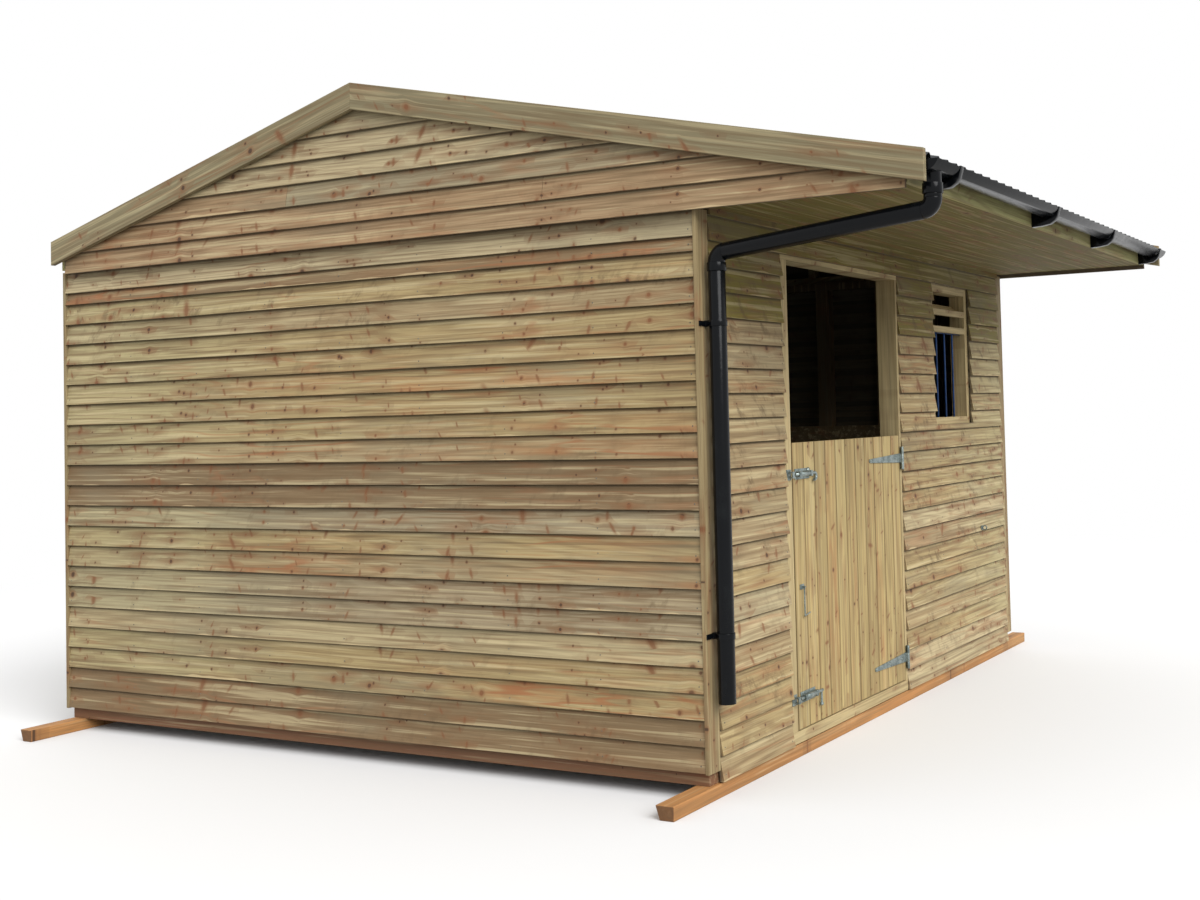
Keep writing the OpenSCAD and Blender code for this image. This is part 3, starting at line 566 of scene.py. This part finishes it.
def featheredge_template():
    """A board one metre long with its face to +Y, thick lower edge at the bottom."""
    bm = new_boards()
    bmesh.ops.create_cube(bm, size=1.0, matrix=Matrix.Translation((0.5, 0.5, 0.5)))
    for v in bm.verts:
        inner, outer = (0.0, FEATHER) if v.co.z > 0.5 else (SKIN - BUTT, SKIN)
        v.co.y = outer if v.co.y > 0.5 else inner
        v.co.z *= BOARD_HEIGHT
    lower = [e for e in bm.edges
             if all(v.co.z < 0.01 and v.co.y > SKIN - 0.001 for v in e.verts)]
    bmesh.ops.bevel(bm, geom=lower, offset=0.0018, affect="EDGES", segments=2, profile=0.5,
                    material=-1)
    lengthwise = [e for e in bm.edges if abs(e.verts[0].co.x - e.verts[1].co.x) > 0.5]
    bmesh.ops.subdivide_edges(bm, edges=lengthwise, cuts=BOARD_CUTS, use_grid_fill=True)
    mesh = bpy.data.meshes.new("featheredge_template")
    bm.to_mesh(mesh)
    bm.free()
    return mesh


board_template = featheredge_template()

BLEACHED_FROM = 0.75    # along a wall, where its boards start to pale
BLEACHED_OVER = 0.9     # and the length it takes them


class Board:
    """One board's row, look and sway. Parts of it on both sides of a gap match."""

    def __init__(self, row, look, log, rng):
        """row is a lower edge and the height it shows, look a stock, its orange out of 10
        and its grime out of 10, and log what boards from one log share."""
        self.low, self.show = row
        stock, warmth, grime = look.split()
        tone = min(1.0, max(0.0, STOCK[stock][0] + rng.uniform(-0.03, 0.03)))
        self.warm, self.soil = int(warmth) / 10, int(grime) / 10
        self.own = (tone, log + rng.uniform(-0.0005, 0.0005))
        self.bleaches = stock in ("grey", "tan", "straw")
        self.sway = rng.uniform(0, 900)

    def lay(self, bm, wall, start, end, top, floor):
        """Lays the stretch from start to end on a wall, cut off at top and at floor."""
        first = len(bm.verts)
        bm.from_mesh(board_template)
        bm.verts.ensure_lookup_table()
        look = bm.verts.layers.float_vector["board"]
        lap = bm.verts.layers.float_vector["lap"]
        wear = bm.verts.layers.float_vector["wear"]
        whole = BOARD_HEIGHT * (1 if self.show > EXPOSURE * 0.9 else self.show / EXPOSURE)
        height = min(whole, top - self.low)
        cut = 1 - height / whole
        for v in bm.verts[first:]:
            x, y, z = v.co
            upper = z / BOARD_HEIGHT
            inner = y < (0.001 if upper > 0.5 else SKIN - BUTT + 0.001)
            y += cut * upper * (SKIN - FEATHER if y > FEATHER - 0.001 else SKIN - BUTT)
            place = start + x * (end - start)
            waney = noise.noise((place * 1.2, self.sway, 0.0)) * 0.0022
            waney += noise.noise((place * 9.0, self.sway, 4.0)) * 0.0008
            bow = abs(noise.noise((place * 0.9, self.sway, 8.0))) * 0.0016
            lift = self.low + upper * height + (1 - upper) * waney
            v.co = wall @ Vector((place, y - (1 - upper) * bow, max(lift, floor)))
            glow = min(1.0, max(0.2, 0.66 + noise.noise((place * 0.7, self.sway, 12.0)) * 1.3))
            faded = min(1.0, max(0.0, (place - BLEACHED_FROM) / BLEACHED_OVER))
            faded *= self.bleaches
            v[look] = (*self.own, self.warm * glow * (1 - 0.85 * faded))
            v[lap] = (upper * height, self.show, 0.0)
            # the third value marks the side that faces the room, which timber paints in shade
            v[wear] = (faded, self.soil, float(inner))


# Each wall's directions in plan: along it, and out of it
WALLS = {
    "left": ((0, 1), (-1, 0)), "right": ((0, 1), (1, 0)),
    "front": ((1, 0), (0, -1)), "rear": ((1, 0), (0, 1)),
}


def wall_matrix(face, plane):
    """Places what is drawn against a wall whose studs end at plane."""
    along, out = WALLS[face]
    return Matrix(((along[0], out[0], 0, abs(out[0]) * plane),
                   (along[1], out[1], 0, abs(out[1]) * plane), (0, 0, 1, 0), (0, 0, 0, 1)))


SLIVER = 0.004          # a row that would be lower than this is left out


def even_rows(low, top):
    """Lower edges of the rows between two heights, each with the height it shows."""
    count = math.ceil((top - low - SLIVER) / EXPOSURE)
    return [(low + i * EXPOSURE, EXPOSURE) for i in range(count)]


NAIL_INSET = 0.022      # from a board's end to its first nail
nails = bmesh.new()


def nail_row(wall, low, start, end, count):
    """Nail heads a little above a board's lower edge, near its ends and between them."""
    for i in range(count):
        place = start + NAIL_INSET + (end - start - 2 * NAIL_INSET) * i / (count - 1)
        height = 0.026 + 0.006 * noise.noise((place * 7.0, low * 9.0, 0.0))
        face = SKIN - (SKIN - FEATHER) * height / BOARD_HEIGHT
        bmesh.ops.create_cone(
            nails, cap_ends=True, segments=8, radius1=0.0034, radius2=0.0022, depth=0.0016,
            matrix=wall @ Matrix.Translation((place, face, low + height))
            @ Matrix.Rotation(math.radians(-90), 4, "X"))


BOARD_GAP = 0.0008      # between a board's end and what it meets
SAME_LOG = (1, 4, 6)    # rows, out of each 7, cut from the same log as the row below


def clad(bm, face, low, high, rows, stocks, seed, joints=None, nailed=0):
    """Boards over a box of a wall. joints gives a row's butt joints by its number, and
    nailed how many nails hold each row."""
    rng = random.Random(seed)
    logs = rng.random()
    axis = 1 if face in ("left", "right") else 0
    plane = {"left": high.x, "right": low.x, "front": high.y, "rear": low.y}[face]
    wall = wall_matrix(face, plane)
    for i, row in enumerate(rows):
        places = [low[axis], *(joints or {}).get(i, ()), high[axis]]
        kinds = stocks[i % len(stocks)].split("/")
        if i % 7 not in SAME_LOG:
            logs = rng.random()
        for k, (start, end) in enumerate(zip(places, places[1:])):
            board = Board(row, kinds[min(k, len(kinds) - 1)], logs, rng)
            board.lay(bm, wall, start + BOARD_GAP, end - BOARD_GAP, high.z, low.z)
        if nailed and high.z - row[0] > 0.05:
            nail_row(wall, row[0], low[axis], high[axis], nailed)


# The side wall's boards from the bottom up: stock, orange in it and grime out of 10
SIDE_STOCKS = (
    "brown 2 4", "brown 2 5", "straw 8 1", "straw 5 2", "pale 5 1", "grey 0 7", "grey 1 8",
    "tan 7 2", "straw 6 1", "grey 2 5", "brown 0 7", "brown 0 5", "tan 8 4", "straw 7 3",
    "straw 8 1", "straw 8 2", "straw 4 3", "straw 3 3", "tan 3 9", "straw 2 9", "brown 8 1",
    "pale 1 2")

FULL_ROWS = 2.0         # height of the side walls' rows below the narrow one

for side in ("left", "right"):
    name = side + "_cladding"
    low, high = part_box(name)
    narrow = low.z + FULL_ROWS
    rows = even_rows(low.z, narrow)
    rows += [(narrow, NARROW_ROW), (narrow + NARROW_ROW, EXPOSURE)]
    bm = new_boards()
    clad(bm, side, low, high, rows, SIDE_STOCKS, 11 if side == "left" else 29, nailed=9)
    finish_piece(name + "_boards", bm, cladding_along_y, stands_for=[name])

FRONT_STOCKS = ("tan 1 5", "pale 2 1", "straw 3 6", "straw 1 3", "tan 3 5",
                "straw 1 2", "pale 4 4", "straw 2 7")
UPPER_STOCKS = ("tan 2 9", "straw 3 8", "tan 6 9", "pale 3 9", "grey 4 8")
# the rows from OLIVE_FROM up are olive, which carries painted shade and painted green bounce
# light under the canopy
UPPER_FROM, OLIVE_FROM = 9, 18      # the front wall's rows where the stock changes
low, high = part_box("rear_cladding")
bm = new_boards()
clad(bm, "rear", low, high, even_rows(low.z, high.z), FRONT_STOCKS, 40, nailed=9)
finish_piece("rear_cladding_boards", bm, cladding_along_x, stands_for=["rear_cladding"])

# the front wall: boards left of the door, and boards from the door on past the window
front_nodes = ["front_cladding_" + part
               for part in ("left", "middle", "under_window", "right", "top")]
left_of_door, by_door, under_window, past_window, over_door = map(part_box, front_nodes)
lintel, sill = over_door[0].z, under_window[1].z
front_wall = wall_matrix("front", left_of_door[1].y)
rng = random.Random(43)
bm = new_boards()
for i, row in enumerate(even_rows(left_of_door[0].z, lintel)):
    floor = left_of_door[0].z
    spans = [(left_of_door[0].x, left_of_door[1].x, lintel, 0)]
    if row[0] + row[1] < sill:
        spans.append((by_door[0].x, past_window[1].x, lintel, 1))
    else:
        spans.append((by_door[0].x, by_door[1].x, lintel, 1))
        spans.append((past_window[0].x, past_window[1].x, lintel, 1))
        if row[0] < sill:
            spans.append((under_window[0].x, under_window[1].x, sill, 1))
    stocks = (FRONT_STOCKS if i < UPPER_FROM else
              UPPER_STOCKS if i < OLIVE_FROM else ("olive 0 9",))
    looks = [stocks[(i * 5 + side) % len(stocks)] for side in range(2)]
    boards = [Board(row, look, rng.random(), rng) for look in looks]
    for start, end, top, which in spans:
        boards[which].lay(bm, front_wall, start, end, top, floor)
        nail_row(front_wall, row[0], start, end, 2 if end - start < 0.7 else 4)
# the boards over the door are olive: painted shade and painted green bounce light under the
# canopy
clad(bm, "front", *over_door, even_rows(lintel, over_door[1].z),
     ("olive 0 6", "olive 0 9"), 47, nailed=7)
finish_piece("front_cladding_boards", bm, cladding_along_x, stands_for=front_nodes)


# ---------- gables ----------

def trim_to_slopes(bm, drop):
    """Cuts boards off at the two roof slopes, lowered by drop."""
    for fall, way in ((front_fall, -1), (rear_fall, 1)):
        cut = bmesh.ops.bisect_plane(
            bm, geom=bm.verts[:] + bm.edges[:] + bm.faces[:], dist=1e-6,
            plane_co=(0, ridge_y, ridge_z - drop), plane_no=(0, way * fall, 1),
            clear_outer=True)
        edges = [e for e in cut["geom_cut"] if isinstance(e, bmesh.types.BMEdge)]
        bmesh.ops.holes_fill(bm, edges=edges, sides=0)


low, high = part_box("gable_panels")
GABLE_STOCKS = ("pink 3 1", "pink 3 2", "grey 0 2/pink 4 2", "pale 0 0", "pale 0 2",
                "pale 0 0", "tan 1 2")
GABLE_JOINTS = {2: (ridge_y + 0.42,), 1: (ridge_y - 1.0,)}
bm = new_boards()
for side, inner, outer in (("left", low.x + SKIN, low.x), ("right", high.x, high.x - SKIN)):
    near = Vector((min(inner, outer), low.y, low.z))
    far = Vector((max(inner, outer), high.y, high.z))
    clad(bm, side, near, far, even_rows(low.z, high.z), GABLE_STOCKS, 61, GABLE_JOINTS)
trim_to_slopes(bm, ridge_z - high.z)
finish_piece("gable_boards", bm, cladding_along_y, stands_for=["gable_panels"])
finish_piece("nail_heads", nails, nail_zinc)


# ---------- roof sheets and soffit ----------

WAVE_HEIGHT = 0.028     # of the sheets' corrugations
WAVE_PITCH = 0.095
WAVE_POINTS = 12        # across each wave of the mesh
SHEET = 0.003           # thickness of a sheet
CREST = 0.75            # of a wave, from a sheet's left edge to its first crest
SHEET_DROP = 0.004      # how far the crests lie below the roof's line
RIDGE_GAP = 0.012       # from the ridge down to a sheet's upper edge
CAP_WAVES = 3           # from one column of fixing caps to the next
CAP_ROWS = (0.16, 0.42, 0.68, 0.94)     # where the caps sit down the slope


def corrugated(name, fall, way):
    """A sheet down one roof slope: way is -1 for the front and 1 for the rear."""
    low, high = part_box(name)
    slope = math.atan(fall)
    reach = abs((low.y if way < 0 else high.y) - ridge_y) / math.cos(slope)
    reach -= (WAVE_HEIGHT + SHEET) * math.tan(slope) if way < 0 else 0.0
    waves = (high.x - low.x) / WAVE_PITCH
    bm = bmesh.new()
    bmesh.ops.create_grid(bm, x_segments=round(waves * WAVE_POINTS), y_segments=4, size=0.5)
    for v in bm.verts:
        x, along = (v.co.x + 0.5) * (high.x - low.x), v.co.y + 0.5
        wave = math.cos(math.tau * (x - CREST * WAVE_PITCH) / WAVE_PITCH)
        v.co = (low.x + x, RIDGE_GAP + along * (reach - RIDGE_GAP),
                (wave - 1) * WAVE_HEIGHT / 2)
    whole = bmesh.ops.extrude_face_region(bm, geom=bm.faces[:], use_keep_orig=True)
    under = [v for v in whole["geom"] if isinstance(v, bmesh.types.BMVert)]
    bmesh.ops.translate(bm, verts=under, vec=(0, 0, -SHEET))
    for face in bm.faces:
        face.smooth = True
    for e in bm.edges:
        e.smooth = len(e.link_faces) == 2 and e.calc_face_angle(0.0) < math.radians(40)
    down = Vector((0, way * math.cos(slope), -math.sin(slope)))
    out = Vector((0, way * math.sin(slope), math.cos(slope)))
    roof = Matrix((Vector((1, 0, 0)), down, out)).transposed().to_4x4()
    roof = Matrix.Translation((0, ridge_y, ridge_z - SHEET_DROP)) @ roof
    bmesh.ops.transform(bm, matrix=roof, verts=bm.verts)
    finish_piece(name + "_smooth", bm, roof_black, stands_for=[name])
    for i in range(math.ceil((waves - CREST) / CAP_WAVES)):
        x = low.x + (CREST + CAP_WAVES * i) * WAVE_PITCH
        for part in CAP_ROWS:
            bmesh.ops.create_uvsphere(
                fixings, u_segments=10, v_segments=6, radius=0.011,
                matrix=roof @ Matrix.Translation((x, part * reach, 0)) @ Matrix.Scale(
                    0.45, 4, (0, 0, 1)))


fixings = bmesh.new()
corrugated("front_roof_sheet", front_fall, -1)
corrugated("rear_roof_sheet", rear_fall, 1)
for face in fixings.faces:
    face.smooth = True
finish_piece("roof_fixing_caps", fixings, pipe_black)


def plank(bm, low, high, own, ease):
    """A straight board between two corners, its long edges eased, with a look of its own."""
    made = bmesh.ops.create_cube(bm, size=1.0)["verts"]
    span, middle = high - low, (low + high) / 2
    for v in made:
        v.co = middle + Vector(a * b for a, b in zip(v.co, span))
        v[bm.verts.layers.float_vector["board"]] = own
    longest = max(range(3), key=lambda axis: span[axis])
    long_edges = {e for v in made for e in v.link_edges
                  if abs(e.verts[0].co[longest] - e.verts[1].co[longest]) > span[longest] / 2}
    bmesh.ops.bevel(bm, geom=list(long_edges), offset=ease, affect="EDGES", segments=2,
                    profile=0.5, material=-1)


SOFFIT_BOARD = 0.125    # about the width of each board under the canopy
SOFFIT_GAP = 0.0015     # between them
low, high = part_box("canopy_soffit")
bm = new_boards()
rng = random.Random(7)
count = round((high.y - low.y) / SOFFIT_BOARD)
wide = (high.y - low.y) / count
for i in range(count):
    near = Vector((low.x, low.y + i * wide, low.z + rng.uniform(0, 0.0015)))
    far = Vector((high.x, low.y + (i + 1) * wide - SOFFIT_GAP, high.z))
    plank(bm, near, far, (rng.random(), rng.random(), rng.random() * 0.4), 0.003)
finish_piece("soffit_boards", bm, soffit_timber, stands_for=["canopy_soffit"])


# ---------- screws and bolt heads ----------

def heads(bm, places, radius, proud):
    """Domed heads that stand proud of a plate's face at the given points."""
    for place in places:
        bmesh.ops.create_uvsphere(
            bm, u_segments=12, v_segments=8, radius=radius,
            matrix=Matrix.Translation(place) @ Matrix.Scale(proud / radius, 4, (0, 1, 0)))


def smooth_heads(name, bm, body):
    for face in bm.faces:
        face.smooth = True
    finish_piece(name, bm, zinc, body)


HINGE_PLATE = 0.005     # how far the hinges stand off the door's face
BOLT_PLATE = 0.003      # and the bolts' plates
HALF_PLATE = 0.023      # half the height of a hinge strap, and of a bolt plate
strap_low, strap_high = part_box("hinge_straps")
_, leaf_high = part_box("hinge_leaves")
plate_low, plate_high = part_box("bolt_plates")
keep_low, keep_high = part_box("bolt_keeps")
door_face = door_edge[0].y
rod_low, rod_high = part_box("upper_bolt_rod")
rod_axis = (rod_low.y + rod_high.y) / 2
on_door, on_post = bmesh.new(), bmesh.new()
for z in (strap_low.z + HALF_PLATE, strap_high.z - HALF_PLATE):
    face = door_face - HINGE_PLATE
    heads(on_door, [(strap_low.x + x, face, z) for x in (0.015, 0.1755, 0.330)],
          0.0072, 0.0042)
    heads(on_post, [(leaf_high.x - 0.0065, face, z + up) for up in (-0.045, 0.0, 0.045)],
          0.0045, 0.0028)
for z in (plate_low.z + HALF_PLATE, plate_high.z - HALF_PLATE):
    face = door_face - BOLT_PLATE
    heads(on_door, [(x, face, z + up) for up in (-0.018, 0.018)
                    for x in (plate_low.x + 0.018, plate_high.x - 0.018)], 0.0040, 0.0026)
    heads(on_post, [(x, face, z + up) for up in (-0.0185, 0.0185)
                    for x in (keep_low.x + 0.007, keep_high.x - 0.007)], 0.0040, 0.0026)
for z in (plate_low.z + HALF_PLATE, plate_high.z - HALF_PLATE):
    bmesh.ops.create_cone(
        on_door, cap_ends=True, segments=24, radius1=0.0118, radius2=0.0118,
        depth=plate_high.x - plate_low.x - 0.052,
        matrix=Matrix.Translation(((plate_low.x + plate_high.x) / 2, rod_axis, z))
        @ Matrix.Rotation(math.radians(90), 4, "Y"))
heads(on_door, [(plate_high.x - 0.014, door_face - BOLT_PLATE, plate_high.z - 0.011)],
      0.0135, 0.0095)
smooth_heads("door_fitting_heads", on_door, "lower_door")
smooth_heads("post_fitting_heads", on_post, "shelter")


# the upper bolt: a plain rod whose end is bent down into a curled handle
ROD_RADIUS = 0.007
CURL_RADIUS = 0.015     # from the curl's middle to the rod's
rod_z = plate_high.z - HALF_PLATE
tip, bend = rod_low.x, rod_high.x - ROD_RADIUS - CURL_RADIUS
bolt = bmesh.new()
bmesh.ops.create_circle(bolt, cap_ends=True, segments=20, radius=ROD_RADIUS,
                        matrix=Matrix.Translation((tip, rod_axis, rod_z))
                        @ Matrix.Rotation(math.radians(90), 4, "Y"))
grown = bmesh.ops.extrude_face_region(bolt, geom=bolt.faces[:], use_keep_orig=True)["geom"]
bmesh.ops.translate(bolt, vec=(bend - tip, 0, 0),
                    verts=[v for v in grown if isinstance(v, bmesh.types.BMVert)])
end = [f for f in grown if isinstance(f, bmesh.types.BMFace)]
bmesh.ops.spin(bolt, geom=end, cent=(bend, rod_axis, rod_z - CURL_RADIUS), axis=(0, 1, 0),
               angle=math.radians(200), steps=14, use_duplicate=False)
bmesh.ops.remove_doubles(bolt, verts=bolt.verts, dist=0.00001)
# the spin leaves round faces inside the rod: they go, and then its end is closed
inside = [f for f in bolt.faces if len(f.verts) > 4 and f.calc_center_median().x > tip + 0.001]
bmesh.ops.delete(bolt, geom=inside, context="FACES_ONLY")
bmesh.ops.holes_fill(bolt, edges=[e for e in bolt.edges if e.is_boundary], sides=0)
for face in bolt.faces:
    face.smooth = len(face.verts) == 4
finish_piece("upper_bolt_curled", bolt, zinc, "upper_bolt", ["upper_bolt_rod"])


# ---------- light, floor and camera ----------

SUN_PLACE = Vector((-3.85, -7.2, 5.78))     # it shines from here towards the origin
sun = bpy.data.lights.new("soft_key", "SUN")
sun.energy = 3.05
sun.angle = 0.75
soft_key = bpy.data.objects.new("soft_key", sun)
soft_key.matrix_world = (Matrix.Translation(SUN_PLACE)
                         @ (-SUN_PLACE).to_track_quat("-Z", "Y").to_matrix().to_4x4())
bpy.context.scene.collection.objects.link(soft_key)

world = bpy.data.worlds.new("studio")
bpy.context.scene.world = world
world.use_nodes = True
sky = Nodes(world.node_tree)
soft_light = sky.node("ShaderNodeBackground", None, Color=(1.0, 1.0, 1.0), Strength=0.85)
white = sky.node("ShaderNodeBackground", None, Color=(1.0, 1.0, 1.0), Strength=1.0)
studio = sky.node("ShaderNodeMixShader", None, sky.shows_surroundings(), soft_light, white)
sky.node("ShaderNodeOutputWorld", None, Surface=studio)

# the floor is pale where it is seen and fades to white, but throws little light back up
floor_finish = Finish("studio_floor", Roughness=0.9)
floor_finish.shader.inputs["Base Color"].default_value = (0.80, 0.80, 0.80, 1)
x, y, _ = floor_finish.place()
away = (x * x + y * y).call("SQRT").between(3.5, 9.0)
glow = floor_finish.node("ShaderNodeEmission", None, Color=(1.0, 1.0, 1.0), Strength=1.0)
shade = floor_finish.node("ShaderNodeBsdfDiffuse", None, Color=(0.30, 0.30, 0.29))
seen = floor_finish.node("ShaderNodeMixShader", None, away,
                         Socket(floor_finish, floor_finish.shader.outputs[0]), glow)
both = floor_finish.node("ShaderNodeMixShader", None, floor_finish.shows_surroundings(),
                         shade, seen)
floor_finish.tree.links.new(both.link, floor_finish.output.inputs["Surface"])
bm = bmesh.new()
bmesh.ops.create_grid(bm, x_segments=1, y_segments=1, size=60)
mesh = bpy.data.meshes.new("studio_floor")
bm.to_mesh(mesh)
bm.free()
mesh.materials.append(floor_finish.material)
studio_floor = bpy.data.objects.new("studio_floor", mesh)
bpy.context.scene.collection.objects.link(studio_floor)

# the camera stands to the left of the front, at about the height of a person's eyes
CAMERA_PLACE = (-6.5336, -4.1045, 1.4784)
CAMERA_TURN = (92.051, 1.556, -63.058)      # in degrees about X, Y and Z, from looking down

scene = bpy.context.scene
scene.view_settings.view_transform = "Standard"
camera_data = bpy.data.cameras.new("camera")
camera_data.sensor_width = 36
camera_data.lens = 42.51
camera_data.shift_x = -0.1557
camera_data.shift_y = -0.0740
camera = bpy.data.objects.new("camera", camera_data)
camera.matrix_world = (Matrix.Translation(CAMERA_PLACE)
                       @ Euler([math.radians(turn) for turn in CAMERA_TURN]).to_matrix().to_4x4())
scene.collection.objects.link(camera)
scene.camera = camera
